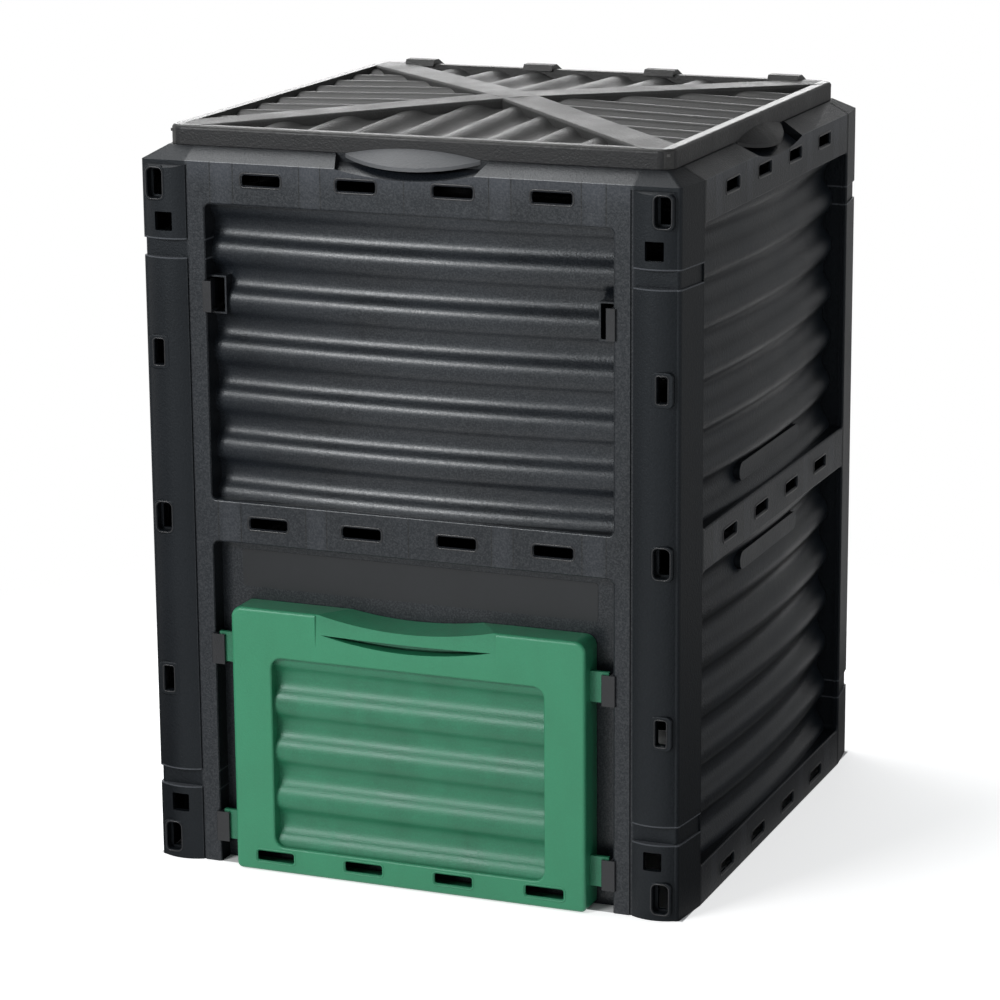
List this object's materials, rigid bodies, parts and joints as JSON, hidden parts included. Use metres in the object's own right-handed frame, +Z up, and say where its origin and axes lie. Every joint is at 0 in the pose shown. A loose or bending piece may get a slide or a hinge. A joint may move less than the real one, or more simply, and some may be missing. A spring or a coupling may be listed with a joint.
{
  "type": "garden compost bin",
  "caption": "Square open-based garden compost bin with corrugated vented walls, a cross-braced lid hinged at the back and a lift-off door low at the front.",
  "frame": {"origin": "on the ground, under the middle of the bin's bounding box", "axes": "+Z up, the door faces -Y, +X to the right seen from the front"},
  "size_m": [0.61, 0.638, 0.8093],
  "materials": {
    "black_panel": "fine-grained satin black polypropylene",
    "black_lid": "fine-grained satin black polypropylene",
    "green_door": "satin green polypropylene",
    "label_film": "blank dark matt label film",
    "black_clip": "smooth black plastic"
  },
  "bodies": {
    "bin": {"front_panel": "black_panel", "back_panel": "black_panel", "left_panel": "black_panel", "right_panel": "black_panel", "blank_label": "label_film", "lower_left_door_hook": "black_clip", "lower_right_door_hook": "black_clip", "middle_left_door_hook": "black_clip", "middle_right_door_hook": "black_clip", "upper_left_door_hook": "black_clip", "upper_right_door_hook": "black_clip", "lid_hinge_pin_1": "black_clip", "lid_hinge_pin_2": "black_clip", "lid_hinge_pin_3": "black_clip", "lid_hinge_pin_4": "black_clip"},
    "lid": {"lid": "black_lid"},
    "door": {"door": "green_door"}
  },
  "joints": [
    {"name": "lid_hinge", "type": "hinge", "parent": "bin", "child": "lid", "pos_m": [0, 0.311, 0.7833], "axis": [-1, 0, 0], "range_deg": [0, 105]},
    {"name": "door_lift", "type": "slide", "parent": "bin", "child": "door", "axis": [0, 0, 1], "range_m": [0, 0.06]}
  ]
}
